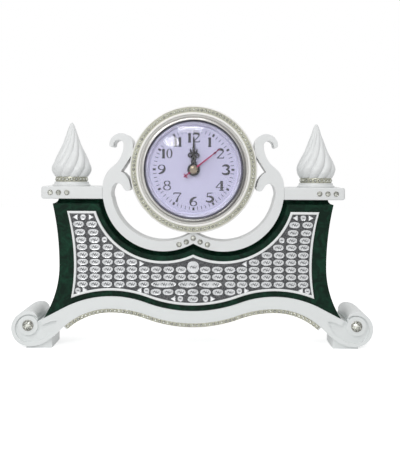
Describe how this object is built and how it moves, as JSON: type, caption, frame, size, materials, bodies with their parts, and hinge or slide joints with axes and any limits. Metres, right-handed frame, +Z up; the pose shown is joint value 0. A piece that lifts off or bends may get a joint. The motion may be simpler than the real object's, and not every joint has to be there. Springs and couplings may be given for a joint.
{
  "type": "mantel clock",
  "caption": "Ornamental mantel clock: round insert clock in a stone-set ring on a lyre frame, flame finials, waisted body with a relief plaque, arched rail and scroll feet.",
  "frame": {"origin": "centre of the footprint on the table, under the feet", "axes": "+Z up, +X to the viewer's right, the dial faces -Y"},
  "size_m": [0.2532, 0.0612, 0.1698],
  "materials": {
    "white_resin": "satin white cast resin",
    "green_resin": "glossy dark green, mottled",
    "cut_stones": "cut clear stones in metal settings",
    "silver_plaque": "silver relief with a dark ground",
    "bezel_chrome": "polished",
    "lens_glass": "clear domed",
    "dial_face": "printed lavender",
    "soft_band": "soft white",
    "black_plastic": "moulded",
    "movement_plastic": "moulded",
    "board": "lacquered board",
    "steel": "plain",
    "copper_wire": "enamelled copper wire",
    "contact_brass": "sprung strip",
    "black_paint": "gloss black",
    "crimson_paint": "gloss crimson",
    "cap_brass": "polished",
    "wheel_plastic": "natural moulded",
    "magnet_black": "magnet and pinion"
  },
  "bodies": {
    "case": {"base_rail": "white_resin", "foot_scroll_left": "white_resin", "foot_scroll_right": "white_resin", "foot_stones": "cut_stones", "rail_stone_chain": "cut_stones", "panel_body": "green_resin", "ledge_left": "white_resin", "ledge_right": "white_resin", "ledge_stones": "cut_stones", "lyre_frame": "white_resin", "crescent_stones": "cut_stones", "clock_ring": "white_resin", "ring_stone_chain": "cut_stones", "finial_plinth_left": "white_resin", "finial_plinth_right": "white_resin", "finial_chain_left": "cut_stones", "finial_chain_right": "cut_stones", "finial_flame_left": "white_resin", "finial_flame_right": "white_resin", "plaque_plate": "silver_plaque", "plaque_border": "white_resin"},
    "insert": {"bezel": "bezel_chrome", "lens": "lens_glass", "dial": "dial_face", "gasket_band": "soft_band", "back_shell": "black_plastic", "movement_plate": "movement_plastic", "movement_cover": "movement_plastic", "circuit_board": "board", "quartz_crystal": "steel", "coil_core": "steel", "coil_winding": "copper_wire", "stator": "steel", "button_cell": "steel", "cell_spring": "contact_brass", "cell_side_contact": "contact_brass"},
    "minute": {"minute_hand": "black_paint", "cannon_pinion": "wheel_plastic"},
    "hour": {"hour_hand": "black_paint", "hour_wheel": "wheel_plastic"},
    "motion": {"motion_wheel": "wheel_plastic"},
    "knob": {"set_knob": "black_plastic"},
    "second": {"second_hand": "crimson_paint", "centre_cap": "cap_brass", "seconds_wheel": "wheel_plastic"},
    "third": {"third_wheel": "wheel_plastic"},
    "centre": {"centre_wheel": "wheel_plastic"},
    "step": {"step_wheel": "wheel_plastic"},
    "rotor_body": {"rotor": "magnet_black"},
    "hatch": {"battery_hatch": "black_plastic"}
  },
  "joints": [
    {"name": "insert_slide", "type": "slide", "parent": "case", "child": "insert", "axis": [0, -1, 0], "range_m": [0, 0.03]},
    {"name": "minute_turn", "type": "hinge", "parent": "insert", "child": "minute", "pos_m": [0, -0.02595, 0.12538], "axis": [0, 1, 0], "continuous": true},
    {"name": "hour_turn", "type": "hinge", "parent": "insert", "child": "hour", "pos_m": [0, -0.02505, 0.12538], "axis": [0, 1, 0], "continuous": true},
    {"name": "motion_turn", "type": "hinge", "parent": "insert", "child": "motion", "pos_m": [0.0035, -0.02185, 0.11932], "axis": [0, 1, 0], "continuous": true},
    {"name": "knob_turn", "type": "hinge", "parent": "insert", "child": "knob", "pos_m": [0.007, -0.01035, 0.11325], "axis": [0, 1, 0], "continuous": true},
    {"name": "second_turn", "type": "hinge", "parent": "insert", "child": "second", "pos_m": [0, -0.02685, 0.12538], "axis": [0, 1, 0], "continuous": true},
    {"name": "third_turn", "type": "hinge", "parent": "insert", "child": "third", "pos_m": [-0.00837, -0.02185, 0.12538], "axis": [0, 1, 0], "continuous": true},
    {"name": "centre_turn", "type": "hinge", "parent": "insert", "child": "centre", "pos_m": [0, -0.02185, 0.12538], "axis": [0, 1, 0], "continuous": true},
    {"name": "step_turn", "type": "hinge", "parent": "insert", "child": "step", "pos_m": [0.00761, -0.02185, 0.12893], "axis": [0, 1, 0], "continuous": true},
    {"name": "rotor_turn", "type": "hinge", "parent": "insert", "child": "rotor_body", "pos_m": [0.01058, -0.02185, 0.13407], "axis": [0, 1, 0], "continuous": true},
    {"name": "hatch_twist", "type": "hinge", "parent": "insert", "child": "hatch", "pos_m": [-0.009, -0.01035, 0.10988], "axis": [0, 1, 0], "range_deg": [0, 45]}
  ],
  "couplings": [
    {"joint": "hour_turn", "follows": "minute_turn", "ratio": 0.083333},
    {"joint": "motion_turn", "follows": "minute_turn", "ratio": -0.33333},
    {"joint": "knob_turn", "follows": "minute_turn", "ratio": 1},
    {"joint": "third_turn", "follows": "second_turn", "ratio": -0.13333},
    {"joint": "centre_turn", "follows": "second_turn", "ratio": 0.016667},
    {"joint": "step_turn", "follows": "second_turn", "ratio": -6},
    {"joint": "rotor_turn", "follows": "second_turn", "ratio": 30}
  ]
}
